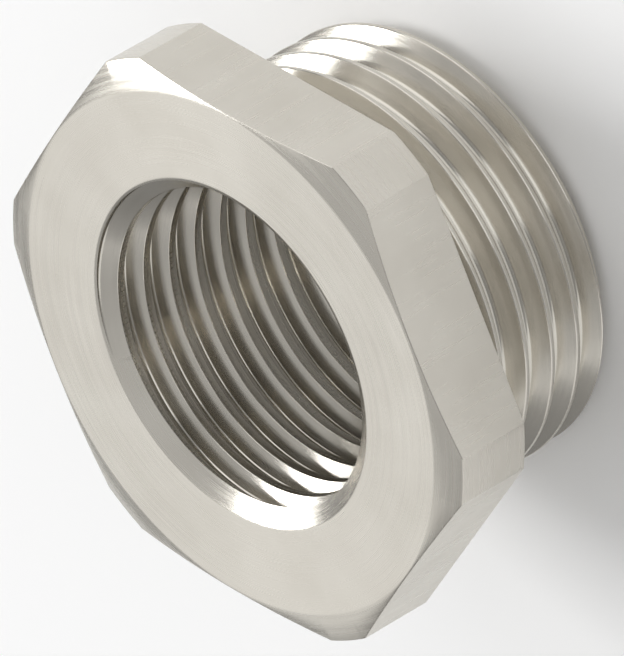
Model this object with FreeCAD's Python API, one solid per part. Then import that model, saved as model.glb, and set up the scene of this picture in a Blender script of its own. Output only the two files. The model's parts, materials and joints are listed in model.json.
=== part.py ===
"""A reducer fitting: a hexagon head on a threaded spigot, with a threaded hole right through.

It is turned and milled from one bar, so it is one solid.
It stands on the end of its spigot. Z runs up the hole, and z = 0 is the seat under the head.
Two corners of the hexagon lie on the X axis, and two of its flats face the Y axis.
"""
import FreeCAD, Part
import math
import os

from FreeCAD import Vector

# Driving sizes of the head, in millimetres and degrees
across_flats = 24.0
head_height = 4.0
corner_cut = 0.61        # what the lathe takes off each corner of the hexagon bar
bevel_angle = 15.0       # slope of the front bevel, measured from the front face
bevel_inset = 0.12       # the bevel starts this far inside the flats

# Driving sizes of the spigot and its outer thread
spigot_diameter = 20.0
spigot_length = 8.5
spigot_pitch = 1.5
land_length = 1.2        # plain length under the head, where the thread runs out
end_chamfer_angle = 30.0  # slope of the chamfer on the end, measured from the end face
end_below_root = 0.05    # the end face is this much smaller in radius than the thread's root
crest_allowance = 0.07   # the thread's crest lies this far inside the spigot's radius
start_angle = 254.0      # where the crest meets the end face, counted from the X axis

# Driving sizes of the threaded hole
hole_thread_diameter = 16.0
hole_pitch = 1.5
countersink_angle = 30.0  # slope of the countersink at both mouths, measured from the face
groove_allowance = 0.1    # the thread's groove ends this far inside the thread's radius
groove_start_angle = 66.6  # where the groove meets the end face, counted from the X axis

# Metric thread form: shares of the pitch, and the slope of a flank
OUTER_DEPTH = 0.61343    # from the outer diameter to the root of an outer thread
CREST_WIDTH = 0.125      # flat on the crest of an outer thread
INNER_DEPTH = 0.54127    # from the thread diameter to the crest of an inner thread
INNER_CREST = 0.25       # flat on the crest of an inner thread
FLANK_SLOPE = math.tan(math.radians(30))

# Lengths that only make one solid reach into or past another before they are joined or cut
SINK = 0.1
PAST = 1.0

# Sizes that follow
spigot_r = spigot_diameter / 2
crest_r = spigot_r - crest_allowance
root_r = spigot_r - OUTER_DEPTH * spigot_pitch
hole_r = hole_thread_diameter / 2 - INNER_DEPTH * hole_pitch
groove_r = hole_thread_diameter / 2 - groove_allowance
bar_corner_r = across_flats / 2 / math.cos(math.radians(30))
corner_r = bar_corner_r - corner_cut
bevel_r = across_flats / 2 - bevel_inset
bevel_drop = (corner_r - bevel_r) * math.tan(math.radians(bevel_angle))
end_r = root_r - end_below_root
end_chamfer_length = (spigot_r - end_r) * math.tan(math.radians(end_chamfer_angle))
mouth_r = hole_thread_diameter / 2
countersink_depth = (mouth_r - hole_r) * math.tan(math.radians(countersink_angle))


def turned(profile, sweep=360):
    """A solid of revolution about Z from its half section, given as (radius, height) points."""
    corners = [Vector(r, 0, z) for r, z in profile]
    face = Part.Face(Part.makePolygon(corners + corners[:1]))
    return face.revolve(Vector(0, 0, 0), Vector(0, 0, 1), sweep)


def screwed(half_section, pitch, bottom, top, angle):
    """A section screwed up a right-hand helix, turn by turn, from bottom until it is past top.

    The half section is (radius, height) points from the section's middle upwards, and is mirrored.
    The middle starts at this angle, counted from the X axis. No face is longer than one turn.
    """
    upper = [Vector(r, 0, z) for r, z in half_section]
    lower = [Vector(r, 0, -z) for r, z in reversed(half_section)]
    section = Part.makePolygon(upper + lower + upper[:1])
    helix = Part.makeHelix(pitch, pitch, half_section[0][0])
    turn = Part.Wire(helix.Edges).makePipeShell([section], True, True)
    turn.rotate(Vector(0, 0, 0), Vector(0, 0, 1), angle)
    turns = []
    for k in range(math.ceil((top - bottom) / pitch)):
        turns.append(turn.translated(Vector(0, 0, bottom + k * pitch)))
    return turns[0].multiFuse(turns[1:])


def head():
    """Hexagon bar, turned down at its corners and bevelled on its front."""
    corners = []
    for k in range(6):
        angle = math.radians(60 * k)
        corners.append(Vector(bar_corner_r * math.cos(angle), bar_corner_r * math.sin(angle), 0))
    bar = Part.Face(Part.makePolygon(corners + corners[:1])).extrude(Vector(0, 0, head_height))
    lathe = turned([
        (0, 0),
        (corner_r, 0),
        (corner_r, head_height - bevel_drop),
        (bevel_r, head_height),
        (0, head_height),
    ])
    # The seam of the turned faces goes to the middle of a flat, so that it splits no corner
    lathe.rotate(Vector(0, 0, 0), Vector(0, 0, 1), 30)
    return bar.common(lathe)


def thread_ridge():
    """The ridge of the outer thread. It starts below the end, and ends inside the land or the head."""
    foot_r = root_r - SINK
    half_crest = CREST_WIDTH * spigot_pitch / 2
    half_foot = half_crest + (crest_r - foot_r) * FLANK_SLOPE
    half_section = [(crest_r, half_crest), (foot_r, half_foot)]
    bottom = -spigot_length - spigot_pitch
    return screwed(half_section, spigot_pitch, bottom, half_foot - land_length, start_angle)


def spigot():
    """Core and thread, trimmed by the end face and its chamfer, with the plain land under the head."""
    below = spigot_length + 2 * spigot_pitch
    core = Part.makeCylinder(root_r, below, Vector(0, 0, -below))
    lathe = turned([
        (0, -spigot_length),
        (end_r, -spigot_length),
        (spigot_r, -spigot_length + end_chamfer_length),
        (spigot_r, SINK),
        (0, SINK),
    ])
    land = Part.makeCylinder(spigot_r, land_length + SINK, Vector(0, 0, -land_length))
    return core.fuse(thread_ridge()).common(lathe).fuse(land)


def hole():
    """What the drill and the two countersinks take out, in two halves, so that no wall closes on itself."""
    past_r = mouth_r + PAST / math.tan(math.radians(countersink_angle))
    half = turned([
        (0, -spigot_length - PAST),
        (past_r, -spigot_length - PAST),
        (hole_r, -spigot_length + countersink_depth),
        (hole_r, head_height - countersink_depth),
        (past_r, head_height + PAST),
        (0, head_height + PAST),
    ], 180)
    return half.fuse(half.rotated(Vector(0, 0, 0), Vector(0, 0, 1), 180))


def thread_groove():
    """What the tap takes out of the wall of the hole. It runs out of both mouths."""
    inside_r = hole_r - SINK
    half_mouth = (1 - INNER_CREST) * hole_pitch / 2
    half_section = [
        (groove_r, half_mouth - (groove_r - hole_r) * FLANK_SLOPE),
        (inside_r, half_mouth + SINK * FLANK_SLOPE),
    ]
    bottom = -spigot_length - hole_pitch
    return screwed(half_section, hole_pitch, bottom, head_height + hole_pitch, groove_start_angle)


reducer_bush = head().fuse(spigot()).cut(hole()).cut(thread_groove()).Solids[0]

os.makedirs("parts", exist_ok=True)
reducer_bush.exportStep("parts/reducer_bush.step")

box = reducer_bush.optimalBoundingBox()
print(f"reducer_bush: {box.XLength:.2f} x {box.YLength:.2f} x {box.ZLength:.2f} mm, z from {box.ZMin:.2f}")
print(f"volume {reducer_bush.Volume:.1f} mm3, faces {len(reducer_bush.Faces)}, valid {reducer_bush.isValid()}")
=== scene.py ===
# %% [markdown]
# Reducer fitting
#
# The real part is a reducer bush: a hexagon head on a threaded spigot, with a threaded hole right
# through. It is cut from one length of hexagon bar, so it is one piece of metal.
# We make it here in the order in which a workshop would: turn a blank, cut it to the hexagon, cut the
# outer thread, drill and countersink the hole, tap the inner thread, and plate it.
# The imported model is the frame. It gives the sizes, and our piece has to fit its box.

import json
import math

import bpy
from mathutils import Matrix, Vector


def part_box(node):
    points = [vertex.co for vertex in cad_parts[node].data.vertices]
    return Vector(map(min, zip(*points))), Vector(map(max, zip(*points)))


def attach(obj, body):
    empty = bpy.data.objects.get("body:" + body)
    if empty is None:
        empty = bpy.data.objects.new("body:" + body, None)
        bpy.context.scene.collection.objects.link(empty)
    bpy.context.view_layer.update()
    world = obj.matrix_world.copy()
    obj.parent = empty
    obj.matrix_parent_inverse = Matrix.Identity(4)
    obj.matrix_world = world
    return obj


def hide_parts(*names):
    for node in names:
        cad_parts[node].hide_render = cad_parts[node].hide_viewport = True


M = 1000                 # millimetres in a metre

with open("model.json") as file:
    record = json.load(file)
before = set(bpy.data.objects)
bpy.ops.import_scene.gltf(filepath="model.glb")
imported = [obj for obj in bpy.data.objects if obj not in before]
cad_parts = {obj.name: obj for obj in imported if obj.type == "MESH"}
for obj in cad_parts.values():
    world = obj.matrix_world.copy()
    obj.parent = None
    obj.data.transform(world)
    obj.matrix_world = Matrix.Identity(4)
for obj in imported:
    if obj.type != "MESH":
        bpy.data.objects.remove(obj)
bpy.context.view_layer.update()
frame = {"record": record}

# %% [markdown]
# The sizes that the frame already holds aren't written again. The box gives the hexagon, the head and
# the spigot's length, and the record's mounts give the threads. Only what a frame can't hold, such as
# the shape of a thread, is written further on, where it is first needed.
#
# The bench is in millimetres: one Blender unit is one millimetre until the piece is done. Blender's
# tools merge and round at fixed small distances, and those suit a piece that is some units long.

# %% Read the sizes
lowest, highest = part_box("reducer_bush")
mounts = {mount["name"]: mount for mount in frame["record"]["mounts"]}

head_height = highest.z * M
spigot_length = -lowest.z * M
overall = head_height + spigot_length
flat_r = highest.y * M
corner_r = highest.x * M
land_r = mounts["spigot_land"]["dims"]["r_mm"]
land_length = mounts["spigot_land"]["dims"]["length_mm"]
hole_r = mounts["hole_thread"]["dims"]["r_mm"]
countersink_depth = (overall - mounts["hole_thread"]["dims"]["length_mm"]) / 2

print(f"head {head_height:.2f} high, {2 * flat_r:.2f} across flats, {2 * corner_r:.2f} across corners")
print(f"spigot {spigot_length:.2f} long, {2 * land_r:.2f} across")
print(f"hole {2 * hole_r:.2f} across, countersinks {countersink_depth:.2f} deep")

# %% [markdown]
# The camera comes first, because it says which sides show most. The drawing is isometric: the view
# runs down the diagonal of a cube, and a circle on the front face becomes an ellipse 0.577 as high as
# it is wide. The hole points to the lower left, so the camera is rolled, and the floor lies behind.
# A real camera can't give a parallel view, but a very long lens from far away comes close to it.

# %% Camera
view_height = 27.17      # what the picture's height shows at the part, in mm
aim_right = 3.422        # the picture's centre, in mm to the right of the front face's centre
aim_up = 1.092           # and in mm above it
lens = 1000.0

towards_viewer = Vector((1, 1, 1)).normalized()
picture_up = Vector((-1, 2, -1)).normalized()
picture_right = picture_up.cross(towards_viewer)
picture_centre = Vector((0, 0, head_height)) + aim_right * picture_right + aim_up * picture_up

bpy.ops.object.camera_add()
camera = bpy.context.object
camera.name = "camera"
camera.data.lens = lens
distance = view_height * lens / camera.data.sensor_width
camera.location = (picture_centre + distance * towards_viewer) / M
turn = camera.rotation_euler.to_matrix()
turn.col[0] = picture_right
turn.col[1] = picture_up
turn.col[2] = towards_viewer
camera.rotation_euler = turn.to_euler()
camera.data.clip_start = 0.01
camera.data.clip_end = 10
bpy.context.scene.camera = camera
print(f"camera {distance:.0f} mm away, lens {lens:.0f} mm")

# %% [markdown]
# Helpers for the bench. Operators work on what is selected, and the frame's own piece is selected after
# loading, so the first helper clears the bench. The others take one piece in hand, and choose its faces,
# edges or corners by a test on their place or direction, as the eye would.

# %% Take a piece in hand
def clear_bench():
    """Leaves nothing selected."""
    if bpy.context.object and bpy.context.object.mode == "EDIT":
        bpy.ops.object.mode_set(mode="OBJECT")
    bpy.ops.object.select_all(action="DESELECT")


def pick(obj):
    """Makes obj the one thing selected."""
    clear_bench()
    obj.select_set(True)
    bpy.context.view_layer.objects.active = obj


def edit(kind="FACE"):
    """Goes into edit mode with nothing selected, ready for faces, edges or corners."""
    bpy.ops.object.mode_set(mode="EDIT")
    bpy.ops.mesh.select_mode(type=kind)
    bpy.ops.mesh.select_all(action="DESELECT")


def select_where(elements, test):
    """Selects the faces, edges or corners that pass the test, and gives their count."""
    bpy.ops.object.mode_set(mode="OBJECT")
    mesh = bpy.context.object.data
    count = 0
    for element in getattr(mesh, elements):
        element.select = test(mesh, element)
        count += element.select
    bpy.ops.object.mode_set(mode="EDIT")
    return count


# %% [markdown]
# A part that a Boolean is to cut has to be closed, like a real solid. An open edge is one that doesn't
# lie between exactly two faces, so after each step we measure the piece and count its open edges.

# %% Measure a piece
def report(obj):
    """Prints how large a piece is and how many faces and open edges it has."""
    pick(obj)
    edit("EDGE")
    bpy.ops.mesh.select_non_manifold()
    bpy.ops.object.mode_set(mode="OBJECT")
    open_edges = sum(edge.select for edge in obj.data.edges)
    size = " x ".join(f"{side:.3f}" for side in obj.dimensions)
    print(f"{obj.name}: {size}, {len(obj.data.polygons)} faces, {open_edges} open edges")


# %% [markdown]
# The whole part is brass with a thin nickel plate, but plate follows what lies under it, so three
# surfaces look different: faces that the lathe turned, flats that are the drawn bar's own, and threads.
# Each has a material. They are made empty here and given to the tools, because a Boolean hands the
# tool's material to the faces that the tool cuts, just as a real tool leaves its own marks.

# %% Name the three finishes
turned_plate = bpy.data.materials.new("nickel_plated_brass_turned")
drawn_plate = bpy.data.materials.new("nickel_plated_brass_drawn")
thread_plate = bpy.data.materials.new("nickel_plated_brass_threaded")
print("finishes:", [material.name for material in bpy.data.materials if "nickel" in material.name])

# %% [markdown]
# The blank, as the lathe leaves it. It starts as a plain disc as wide as the turned corners. Its top
# face is raised and drawn in, which makes the shallow front bevel, and its bottom face is inset and
# pushed down, which makes the plain land under the head.
# A spun outline would do as well. Extrude and scale are chosen because a bevel and a step are easier to
# see that way.

# %% Turn the blank
ROUND = 256              # sides of a turned face, so that its outline looks smooth
BEVEL_SLOPE = math.tan(math.radians(15))
BEVEL_INSET = 0.12       # the bevel starts this far inside the flats, in mm

bevel_r = flat_r - BEVEL_INSET
bevel_drop = (corner_r - bevel_r) * BEVEL_SLOPE
disc_height = head_height - bevel_drop
clear_bench()
bpy.ops.mesh.primitive_cylinder_add(
    vertices=ROUND, radius=corner_r, depth=disc_height, location=(0, 0, disc_height / 2)
)
blank = bpy.context.object
blank.name = "reducer_bush_finished"
blank.data.materials.append(turned_plate)
bpy.ops.object.transform_apply()

edit("FACE")
select_where("polygons", lambda mesh, face: face.normal.z > 0.9)
bpy.ops.mesh.extrude_region_move(TRANSFORM_OT_translate={"value": (0, 0, bevel_drop)})
shrink = bevel_r / corner_r
bpy.ops.transform.resize(value=(shrink, shrink, 1), center_override=(0, 0, head_height))
select_where("polygons", lambda mesh, face: face.normal.z < -0.9)
bpy.ops.mesh.inset(thickness=corner_r - land_r)
bpy.ops.mesh.extrude_region_move(TRANSFORM_OT_translate={"value": (0, 0, -land_length)})
report(blank)

# %% [markdown]
# Most cuts here are Booleans: one piece is crossed with another, joined to it or cut by it. The exact
# solver keeps the result closed. It is slower than the fast one, and asks that no two faces lie in one
# plane, so each tool reaches some way past what it cuts.

# %% Cut one piece with another
PAST = 2.0               # how far a tool reaches past what it cuts, in mm


def combine(obj, tool, operation):
    """Joins, cuts or crosses obj with tool, and takes the tool away."""
    pick(obj)
    modifier = obj.modifiers.new("combine", "BOOLEAN")
    modifier.operation = operation
    modifier.solver = "EXACT"
    modifier.material_mode = "TRANSFER"
    modifier.object = tool
    bpy.ops.object.modifier_apply(modifier=modifier.name)
    pick(tool)
    bpy.ops.object.delete()
    report(obj)


# %% [markdown]
# The hexagon. On the real part it is the bar itself, drawn to shape at the mill. Here the bar is a
# six-sided cylinder, longer than the blank at both ends, and only what both have in common is kept.
# The turned corners come by themselves, because the blank is narrower than the bar's sharp corners.

# %% Cut the hexagon
clear_bench()
bpy.ops.mesh.primitive_cylinder_add(
    vertices=6,
    radius=flat_r / math.cos(math.radians(30)),
    depth=2 * (overall + PAST),
    rotation=(0, 0, math.radians(30)),
)
bar = bpy.context.object
bar.name = "hexagon_bar"
bar.data.materials.append(drawn_plate)
bpy.ops.object.transform_apply()
combine(blank, bar, "INTERSECT")

# %% [markdown]
# The threads. On the real part a thread is cut by a tool with the thread's own outline, which moves up
# by one pitch in each turn. The Screw modifier does the same: it turns an outline round the axis and
# lifts it as it goes. A ridge wound on a cylinder would be another way, but it would have to be joined
# to the cylinder all along, at a very flat angle.
# The outline is a line of corners. Blender has no primitive for that, so a plane is merged to one
# corner, and each next corner is pulled out of the last.

# %% Draw an outline
def draw_line(name, points):
    """A line through points, which are (radius, height)."""
    clear_bench()
    bpy.ops.mesh.primitive_plane_add(size=1, location=(0, 0, 0))
    line = bpy.context.object
    line.name = name
    edit("VERT")
    bpy.ops.mesh.select_all(action="SELECT")
    bpy.ops.mesh.merge(type="CENTER")
    here = Vector((0, 0, 0))
    for count, (radius, height) in enumerate(points):
        there = Vector((radius, 0, height))
        if count == 0:
            bpy.ops.transform.translate(value=there)
        else:
            bpy.ops.mesh.extrude_vertices_move(TRANSFORM_OT_translate={"value": there - here})
        here = there
    bpy.ops.object.mode_set(mode="OBJECT")
    return line


# %% [markdown]
# A metric thread has flanks at 30 degrees to a cut straight across it, and flat crests and roots. The
# outline holds one pitch, from the middle of one crest to the middle of the next. Turned through many
# turns, each strip ends where the next one starts, so they join into one closed skin.

# %% Outline of a thread
PITCH = 1.5              # both threads, in mm
FLANK = math.tan(math.radians(30))


def thread_outline(name, crest, root, crest_flat, start):
    """One pitch of a thread, from a crest at height start upwards. crest and root are radii."""
    half = crest_flat / 2
    slope = (crest - root) * FLANK
    return draw_line(name, [
        (crest, start),
        (crest, start + half),
        (root, start + half + slope),
        (root, start + PITCH - half - slope),
        (crest, start + PITCH - half),
        (crest, start + PITCH),
    ])


# %% [markdown]
# A real tool has a worn tip and plate builds up on corners, so none of them is sharp. Each corner of
# the outline is bevelled before the outline is turned. That is one short cut for each corner, where the
# finished thread would need one all along its edge.

# %% Round the corners of an outline
def round_corners(line, radius, offset):
    """Rounds the corners of an outline that lie at that radius, apart from its two ends."""
    pick(line)
    edit("VERT")
    ends = {0, len(line.data.vertices) - 1}
    select_where(
        "vertices",
        lambda mesh, corner: abs(corner.co.x - radius) < 0.001 and corner.index not in ends,
    )
    bpy.ops.mesh.bevel(offset=offset, segments=4, affect="VERTICES", offset_type="OFFSET")
    bpy.ops.object.mode_set(mode="OBJECT")


# %% [markdown]
# The skin is screwed up longer than needed. Two flat cuts then give it its length and fill its ends, and
# make it a closed rod. Where the thread starts depends on the angle from which the outline is turned:
# the angle at which it meets the end face says how high the crest is over the X axis.

# %% Screw an outline into a rod
STEPS = 180              # steps in each turn
SAME_PLACE = 0.0005      # corners of two strips that lie closer than this are one corner, in mm


def cut_flat(height, **side):
    """Cuts the piece in hand across at a height, closes the cut and takes one side away."""
    bpy.ops.mesh.select_all(action="SELECT")
    bpy.ops.mesh.bisect(plane_co=(0, 0, height), plane_no=(0, 0, 1), use_fill=True, **side)


def threaded_rod(name, crest, root, crest_flat, rounding, end_angle, low, high):
    """A closed rod with a right-hand thread, from height low to height high.

    rounding is how much the corners of crest and root are rounded. end_angle is where the crest meets
    the end face of the part, in degrees from the X axis.
    """
    crest_height = -spigot_length - PITCH * end_angle / 360
    start = crest_height - PITCH * (math.floor((crest_height - low) / PITCH) + 2)
    rod = thread_outline(name, crest, root, crest_flat, start)
    rod.data.materials.append(thread_plate)
    round_corners(rod, crest, rounding[0])
    round_corners(rod, root, rounding[1])

    screw = rod.modifiers.new("thread", "SCREW")
    screw.axis = "Z"
    screw.angle = math.tau
    screw.screw_offset = PITCH
    screw.iterations = math.ceil((high - start) / PITCH) + 1
    screw.steps = STEPS
    screw.render_steps = STEPS
    screw.use_merge_vertices = False
    pick(rod)
    bpy.ops.object.modifier_apply(modifier=screw.name)

    edit("VERT")
    bpy.ops.mesh.select_all(action="SELECT")
    bpy.ops.mesh.remove_doubles(threshold=SAME_PLACE)
    cut_flat(low, clear_inner=True)
    cut_flat(high, clear_outer=True)
    bpy.ops.mesh.select_all(action="SELECT")
    bpy.ops.mesh.normals_make_consistent(inside=False)
    report(rod)
    return rod


# %% [markdown]
# The outer thread has a pitch of 1.5 mm on a diameter of 20 mm. The standard puts its root 0.61343 of a
# pitch inside that, and its crest flat is an eighth of a pitch. Its crest is kept a little smaller than
# the land above it, so that it passes a clearance hole. The rod reaches up into the land, where its flat
# top can't be seen. It starts at the angle at which its crests lie where the drawing has its rings.

# %% Cut the outer thread
CREST_ALLOWANCE = 0.07   # the crest lies this far inside the land, in mm
OUTER_DEPTH = 0.61343    # from the full diameter to the root, as a share of the pitch
OUTER_START = 254.0      # where the crest meets the end face, in degrees from the X axis

outer_root = land_r - OUTER_DEPTH * PITCH
rod_top = -land_length / 2
spigot = threaded_rod(
    "spigot",
    crest=land_r - CREST_ALLOWANCE,
    root=outer_root,
    crest_flat=PITCH / 8,
    rounding=(0.05, 0.15),
    end_angle=OUTER_START,
    low=-spigot_length - PAST,
    high=rod_top,
)

# %% [markdown]
# The end of the spigot. It is chamfered at 30 degrees to the end face, down to just below the root of
# the thread, so that the thread starts by itself in its hole. A wide cone that stands on its small end
# has that slope, and what rod and cone have in common is the finished spigot.

# %% Face and chamfer the end
LEAD_SLOPE = math.tan(math.radians(30))
END_BELOW_ROOT = 0.05    # the end face is this much smaller in radius than the root, in mm

end_r = outer_root - END_BELOW_ROOT
cone_height = spigot_length + rod_top / 2

clear_bench()
bpy.ops.mesh.primitive_cone_add(
    vertices=ROUND,
    radius1=end_r,
    radius2=end_r + cone_height / LEAD_SLOPE,
    depth=cone_height,
    location=(0, 0, -spigot_length + cone_height / 2),
)
cone = bpy.context.object
cone.name = "chamfer_cone"
cone.data.materials.append(turned_plate)
bpy.ops.object.transform_apply()
combine(spigot, cone, "INTERSECT")

# %% [markdown]
# The drawing's own edges are razor sharp, but a real edge is broken with a touch of a file or rounded
# by the plating drum, and that thin round catches the light. The head's edges are rounded now, while it
# has few faces. Sharp edges are found by the angle between their faces. The corner between land and
# seat is sharp too, but it is an inner one, which no file reaches, so it stays as it is.

# %% Break the edges of the head
HEAD_EDGE = 0.09         # width of a broken edge on the head, in mm
NEAR = 0.002             # an edge this near to a circle counts as lying on it, in mm


def on_circle(mesh, edge, radius, height):
    """Whether both ends of an edge lie on the circle with that radius and height."""
    places = [mesh.vertices[corner].co for corner in edge.vertices]
    return all(abs(p.xy.length - radius) < NEAR and abs(p.z - height) < NEAR for p in places)


pick(blank)
edit("EDGE")
bpy.ops.mesh.edges_select_sharp(sharpness=math.radians(20))
bpy.ops.object.mode_set(mode="OBJECT")
for edge in blank.data.edges:
    if on_circle(blank.data, edge, land_r, 0):
        edge.select = False
bpy.ops.object.mode_set(mode="EDIT")
bpy.ops.mesh.bevel(offset=HEAD_EDGE, offset_type="OFFSET", segments=3, affect="EDGES", clamp_overlap=True)
report(blank)

# %% [markdown]
# Head and spigot become one. The spigot's flat top lies inside the land, so the two cross cleanly.

# %% Join head and spigot
combine(blank, spigot, "UNION")

# %% [markdown]
# The hole is drilled to the crest of its thread, and both mouths are countersunk. One tool does it: a
# cylinder as long as the plain wall, whose ends are drawn out to wide cones. A cone has to be as wide as
# the thread where it crosses the face, and goes on past it at the same slope.

# %% Drill and countersink the hole
past_depth = countersink_depth + PAST
wide = (hole_r + past_depth / LEAD_SLOPE) / hole_r

clear_bench()
bpy.ops.mesh.primitive_cylinder_add(
    vertices=ROUND,
    radius=hole_r,
    depth=overall - 2 * countersink_depth,
    location=(0, 0, (head_height - spigot_length) / 2),
)
drill = bpy.context.object
drill.name = "drill"
drill.data.materials.append(turned_plate)
bpy.ops.object.transform_apply()

for side in (1, -1):
    edit("FACE")
    select_where("polygons", lambda mesh, face: face.normal.z * side > 0.9)
    bpy.ops.mesh.extrude_region_move(TRANSFORM_OT_translate={"value": (0, 0, side * past_depth)})
    bpy.ops.transform.resize(value=(wide, wide, 1), center_override=(0, 0, 0))
    bpy.ops.object.mode_set(mode="OBJECT")
report(drill)
combine(blank, drill, "DIFFERENCE")

# %% [markdown]
# Both mouths and the rim of the end face get a small round too. They are plain circles, so they are
# chosen by radius and height. The front bevel meets the front face at only 15 degrees, which is too
# little to be found as sharp, so its circle is chosen in the same way.
# This comes before the inner thread, because the thread cuts these circles.

# %% Break the edges of the mouths and the end
MOUTH_EDGE = 0.06        # width of these broken edges, in mm
mouth_r = hole_r + countersink_depth / LEAD_SLOPE
circles = [
    (mouth_r, head_height),
    (mouth_r, -spigot_length),
    (end_r, -spigot_length),
    (bevel_r, head_height),
]

pick(blank)
edit("EDGE")
found = select_where(
    "edges",
    lambda mesh, edge: any(on_circle(mesh, edge, radius, height) for radius, height in circles),
)
print("edges on the four circles:", found)
bpy.ops.mesh.bevel(offset=MOUTH_EDGE, offset_type="OFFSET", segments=3, affect="EDGES", clamp_overlap=True)
report(blank)

# %% [markdown]
# The inner thread is cut by a tap, which is a threaded rod like the spigot, and what it takes away is
# the groove. The tap's crest is the bottom of the groove, and its root is the drilled wall. The standard
# leaves a quarter of a pitch as the flat between two turns of the groove, so the rest is the groove's
# mouth, and its flanks narrow that towards the bottom.

# %% Tap the hole
GROOVE_ALLOWANCE = 0.1   # the groove ends this far inside the thread's radius, in mm
INNER_START = 66.6       # where the groove meets the end face, in degrees from the X axis

groove_r = mouth_r - GROOVE_ALLOWANCE
groove_floor = 3 / 4 * PITCH - 2 * (groove_r - hole_r) * FLANK
tap = threaded_rod(
    "tap",
    crest=groove_r,
    root=hole_r,
    crest_flat=groove_floor,
    rounding=(0.08, 0.03),
    end_angle=INNER_START,
    low=-spigot_length - PAST,
    high=head_height + PAST,
)
combine(blank, tap, "DIFFERENCE")

# %% [markdown]
# Where two cuts meet, a Boolean can leave corners less than a thousandth of a millimetre apart. The eye
# doesn't see them, but they make faces with no area, over which a copy of the mesh trips when it is
# rounded for a file. So corners that lie closer than 0.002 mm are merged.

# %% Merge what the cuts left
TOO_CLOSE = 0.002        # corners closer than this are merged, in mm

pick(blank)
edit("VERT")
bpy.ops.mesh.select_all(action="SELECT")
bpy.ops.mesh.remove_doubles(threshold=TOO_CLOSE)
report(blank)

# %% [markdown]
# The shape is done. It is shrunk from the bench's millimetres to the frame's metres, and its size is
# applied, so that its object lies at the origin, unturned and unscaled.
# Faces are shaded smooth where they meet at a small angle. The broken edges are then soft, but they
# would also pull the shading of the flat faces beside them. The Weighted Normal modifier gives each
# corner the direction of its largest face, so flat faces stay flat.
# At last the piece takes the place of the frame's own piece.

# %% Shrink and smooth
pick(blank)
bpy.ops.transform.resize(value=(1 / M, 1 / M, 1 / M), center_override=(0, 0, 0))
bpy.ops.object.transform_apply()
bpy.ops.object.shade_smooth_by_angle(angle=math.radians(35))
weigh = blank.modifiers.new("flat_faces_stay_flat", "WEIGHTED_NORMAL")
weigh.mode = "FACE_AREA"
weigh.weight = 100
weigh.keep_sharp = True
bpy.ops.object.modifier_apply(modifier=weigh.name)
print("materials:", [slot.name for slot in blank.material_slots])

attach(blank, "root")
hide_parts("reducer_bush")

# %% [markdown]
# Colours are written as they look on a screen, in sRGB hex, and turned to the linear values that a
# shader counts with. A material is a tree of nodes, and one small function adds a node with its
# settings and its links.

# %% Colour and node helpers
def linear(hex_colour):
    """The linear colour of an sRGB hex colour such as #D4CDC0."""
    parts = [int(hex_colour[i:i + 2], 16) / 255 for i in (1, 3, 5)]
    return (*[p / 12.92 if p <= 0.04045 else ((p + 0.055) / 1.055) ** 2.4 for p in parts], 1)


def add(tree, kind, settings=None, links=None):
    """Adds a node. Settings go by name, and sockets by name or number, to a value or an output."""
    node = tree.nodes.new(kind)
    for name, value in (settings or {}).items():
        if isinstance(name, str) and hasattr(node, name):
            setattr(node, name, value)
        else:
            node.inputs[name].default_value = value
    for name, output in (links or {}).items():
        tree.links.new(output, node.inputs[name])
    return node


def new_tree(owner):
    """The empty node tree of a material or a world."""
    owner.use_nodes = True
    owner.node_tree.nodes.clear()
    return owner.node_tree


# %% [markdown]
# Tool marks. They run along the bar on the flats, and round the axis where the lathe or a threading tool
# has cut. Noise makes them, squeezed so that it changes fast across the marks and slowly along them.
# Noise is chosen because it needs no unwrapping, has no seam and never repeats.
# On a flat the squeeze is a plain one, along the bar's axis.

# %% Marks along the bar
FLAT_SQUEEZE = 0.03      # marks on a flat are 1 / 0.03 times as long as they are wide


def marks_along_bar(tree, in_mm):
    """Where the noise of the marks is read on a flat, and the way in which they run."""
    squeeze = {"operation": "MULTIPLY", 1: (1, 1, FLAT_SQUEEZE)}
    place = add(tree, "ShaderNodeVectorMath", squeeze, {0: in_mm})
    run = add(tree, "ShaderNodeCombineXYZ", {"Z": 1.0})
    return place.outputs[0], run.outputs[0]


# %% [markdown]
# On a turned face the noise is read at the direction from the axis, which changes slowly round the part,
# and is lifted by the distance across the marks. On faces that the lathe cut, that is the radius plus the
# height, so it changes on a level face, on an upright one and on a slope. On a thread it is the radius
# alone, because the height would make the marks cross the flanks instead of following them.

# %% Marks round the axis
TURN_SQUEEZE = 0.25      # at this one a mark changes about nine times in a turn


def marks_round_axis(tree, in_mm, by_height):
    """Where the noise of the marks is read on a turned face, and the way in which they run."""
    flat = add(tree, "ShaderNodeVectorMath", {"operation": "MULTIPLY", 1: (1, 1, 0)}, {0: in_mm})
    radius = add(tree, "ShaderNodeVectorMath", {"operation": "LENGTH"}, {0: flat.outputs[0]})
    way = add(tree, "ShaderNodeVectorMath", {"operation": "NORMALIZE"}, {0: flat.outputs[0]})
    step = radius.outputs["Value"]
    if by_height:
        height = add(tree, "ShaderNodeSeparateXYZ", links={0: in_mm}).outputs["Z"]
        step = add(tree, "ShaderNodeMath", {"operation": "ADD"}, {0: step, 1: height}).outputs[0]
    lift = add(tree, "ShaderNodeCombineXYZ", links={"Z": step})
    squeeze = {"operation": "MULTIPLY_ADD", 1: (TURN_SQUEEZE,) * 3}
    place = add(tree, "ShaderNodeVectorMath", squeeze, {0: way.outputs[0], 2: lift.outputs[0]})
    across_axis = {"operation": "CROSS_PRODUCT", 0: (0, 0, 1)}
    run = add(tree, "ShaderNodeVectorMath", across_axis, {1: way.outputs[0]})
    return place.outputs[0], run.outputs[0]


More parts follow.
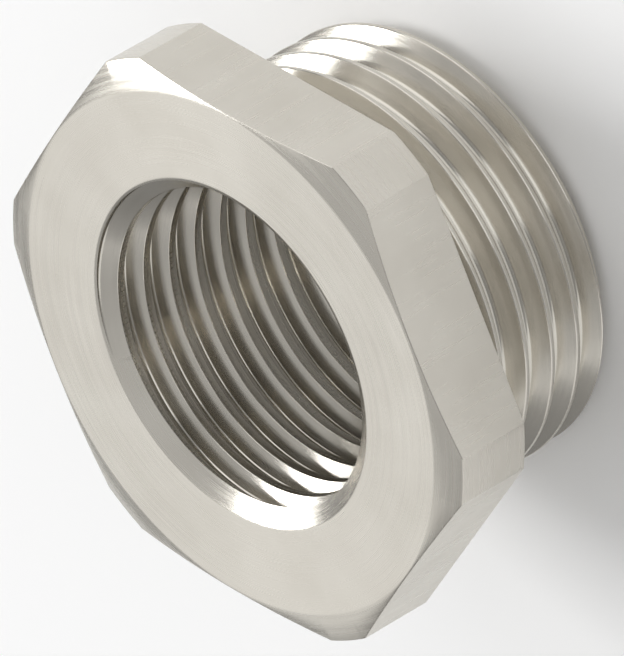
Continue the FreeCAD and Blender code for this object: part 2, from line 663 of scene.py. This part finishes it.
# %% [markdown]
# Nickel plate is a warm silver, a little yellower and darker than chrome. Over fine tool marks it is
# satin, so it shows what is round it as a soft blur, drawn out across the marks. The anisotropic setting
# draws it out, the tangent tells it which way the marks run, and its quarter turn sets it across them.
# A real finishing tool leaves marks 0.05 to 0.1 mm apart. That is only one or two pixels here, so they
# are drawn 0.17 mm apart.
# Satin nickel is typically between 0.2 and 0.35 rough. The drawn flats are the dullest, and the threads,
# which the tool burnishes, the brightest. The plate's colour changes by a shade in patches some
# millimetres wide, as it does where the bath has moved past.

# %% Nickel plate
nickel_light = linear("#DAD6CD")
nickel_dark = linear("#C9C4BA")
MARK_SPACING = 0.17      # mm from mark to mark
PATCH_SIZE = 3.0         # mm across a patch of colour
ROUGHNESS_SPREAD = 0.05  # marks are rougher or smoother by this much


def plate(material, made_by, roughness, mark_depth):
    """Fills a material with nickel plate over tool marks, whose depth is given in mm."""
    tree = new_tree(material)
    place = add(tree, "ShaderNodeTexCoord").outputs["Object"]
    in_mm = add(tree, "ShaderNodeVectorMath", {"operation": "SCALE", "Scale": M}, {0: place}).outputs[0]
    if made_by == "drawing":
        place_of_marks, run = marks_along_bar(tree, in_mm)
    else:
        place_of_marks, run = marks_round_axis(tree, in_mm, by_height=made_by == "turning")
    grain = {"Scale": 1 / MARK_SPACING, "Detail": 3.0, "Roughness": 0.6}
    marks = add(tree, "ShaderNodeTexNoise", grain, {"Vector": place_of_marks}).outputs[0]

    patches = add(tree, "ShaderNodeTexNoise", {"Scale": 1 / PATCH_SIZE, "Detail": 2.0}, {"Vector": in_mm})
    shades = {"data_type": "RGBA", 6: nickel_dark, 7: nickel_light}
    tint = add(tree, "ShaderNodeMix", shades, {0: patches.outputs[0]})
    low, high = roughness - ROUGHNESS_SPREAD, roughness + ROUGHNESS_SPREAD
    span = {"From Min": 0.3, "From Max": 0.7, "To Min": low, "To Max": high}
    rough = add(tree, "ShaderNodeMapRange", span, {0: marks})
    bump = add(tree, "ShaderNodeBump", {"Strength": 1.0, "Distance": mark_depth / M}, {"Height": marks})
    shader = add(
        tree,
        "ShaderNodeBsdfPrincipled",
        {"Metallic": 1.0, "Anisotropic": 0.5, "Anisotropic Rotation": 0.25},
        {
            "Base Color": tint.outputs[2],
            "Roughness": rough.outputs[0],
            "Normal": bump.outputs[0],
            "Tangent": run,
        },
    )
    add(tree, "ShaderNodeOutputMaterial", links={"Surface": shader.outputs[0]})
    print(f"{material.name}: roughness {low:.2f} to {high:.2f}, marks {mark_depth} mm deep")


plate(turned_plate, "turning", roughness=0.26, mark_depth=0.004)
plate(drawn_plate, "drawing", roughness=0.30, mark_depth=0.004)
plate(thread_plate, "threading", roughness=0.22, mark_depth=0.003)

# %% [markdown]
# The floor is a pale board, so large that its edge is never in view. The drawing's ground is white, so
# to the camera and in reflections the board is white too. To all other light it stays the pale board
# that it is, so that it throws no more light on the part than a real one.

# %% Floor
FLOOR_SIDE = 6.0         # metres

clear_bench()
bpy.ops.mesh.primitive_plane_add(size=FLOOR_SIDE, location=(0, 0, lowest.z))
floor = bpy.context.object
floor.name = "floor"

board = bpy.data.materials.new("pale_board")
floor.data.materials.append(board)
tree = new_tree(board)
rays = add(tree, "ShaderNodeLightPath")
seen = rays.outputs["Is Camera Ray"]
for ray in ("Is Glossy Ray", "Is Transmission Ray"):
    seen = add(tree, "ShaderNodeMath", {"operation": "MAXIMUM"}, {0: seen, 1: rays.outputs[ray]}).outputs[0]
pale, white = linear("#F1F1EF"), linear("#FFFFFF")
shade = add(tree, "ShaderNodeMix", {"data_type": "RGBA", 6: pale, 7: white}, {0: seen})
paint = add(tree, "ShaderNodeBsdfPrincipled", {"Roughness": 0.7}, {"Base Color": shade.outputs[2]})
add(tree, "ShaderNodeOutputMaterial", links={"Surface": paint.outputs[0]})
print("floor at", round(lowest.z * M, 2), "mm")

# %% [markdown]
# Metal shows its surroundings more than its own colour. So four broad weak lamps stand round the part,
# like the pale walls of a studio, and from every side its front face mirrors one of them or the gap
# between two. The key lamp is small and strong: it draws the lines of light on the threads, and it
# throws the shadow that the flats mirror, so that each flat has a tone of its own.
# A lamp's level is given as the brightness of its face, where 1 is white, and its power is worked out.
# So is the share of light that it gives to a level surface, because together lamps and sky should give
# about 1: then a colour renders about as it is written.

# %% Lamps
def soft_lamp(name, azimuth, elevation, far, size, level):
    """A square lamp that looks at the part, at azimuth degrees from +X towards +Y. Gives its share."""
    across = math.radians(azimuth)
    up = math.radians(elevation)
    way = Vector((math.cos(across) * math.cos(up), math.sin(across) * math.cos(up), math.sin(up)))
    bpy.ops.object.light_add(type="AREA", location=far * way)
    lamp = bpy.context.object
    lamp.name = name
    lamp.rotation_euler = way.to_track_quat("Z", "Y").to_euler()
    lamp.data.size = size
    lamp.data.energy = level * math.pi * size**2
    return level * (size / far) ** 2 * math.sin(up) / math.pi


pale_walls = [           # azimuth, elevation, distance, size, level
    (45, 20, 0.8, 0.5, 0.9),
    (118, 27, 0.9, 0.7, 1.0),
    (228, 33, 0.9, 0.6, 0.65),
    (315, 22, 0.9, 0.7, 0.65),
]
lamp_share = soft_lamp("key", azimuth=178, elevation=38, far=0.7, size=0.3, level=9.0)
for wall in pale_walls:
    lamp_share += soft_lamp(f"pale_wall_at_{wall[0]}", *wall)
print(f"light from the lamps on a level surface: {lamp_share:.2f}")

# %% [markdown]
# The sky stands for the studio's walls and ceiling. It is darker low down and lighter overhead, so that
# a round metal surface has a dark and a light side. It reads only the direction of the world, never the
# camera's.

# %% Sky
sky_levels = [(0.0, 0.28), (0.35, 0.28), (0.8, 0.48), (1.0, 0.62)]
world = bpy.data.worlds.new("studio")
bpy.context.scene.world = world
tree = new_tree(world)
look = add(tree, "ShaderNodeTexCoord")
height_of_look = add(tree, "ShaderNodeSeparateXYZ", links={0: look.outputs["Generated"]})
ramp = add(tree, "ShaderNodeValToRGB", links={0: height_of_look.outputs["Z"]})
ramp.color_ramp.interpolation = "EASE"
stops = ramp.color_ramp.elements
while len(stops) < len(sky_levels):
    stops.new(1.0)
for stop, (height, level) in zip(stops, sky_levels):
    stop.position = height
    stop.color = (level, level, level, 1)
sky = add(tree, "ShaderNodeBackground", links={"Color": ramp.outputs[0]})
add(tree, "ShaderNodeOutputWorld", links={"Surface": sky.outputs[0]})

sky_share = 0.0
for (low, low_level), (high, high_level) in zip(sky_levels, sky_levels[1:]):
    sky_share += (low_level + high_level) / 2 * (high**2 - low**2)
print(f"lamps and sky together: {lamp_share + sky_share:.2f}")

# %% [markdown]
# The Standard view shows colours as they are written.

# %% Show colours as written
bpy.context.scene.view_settings.view_transform = "Standard"
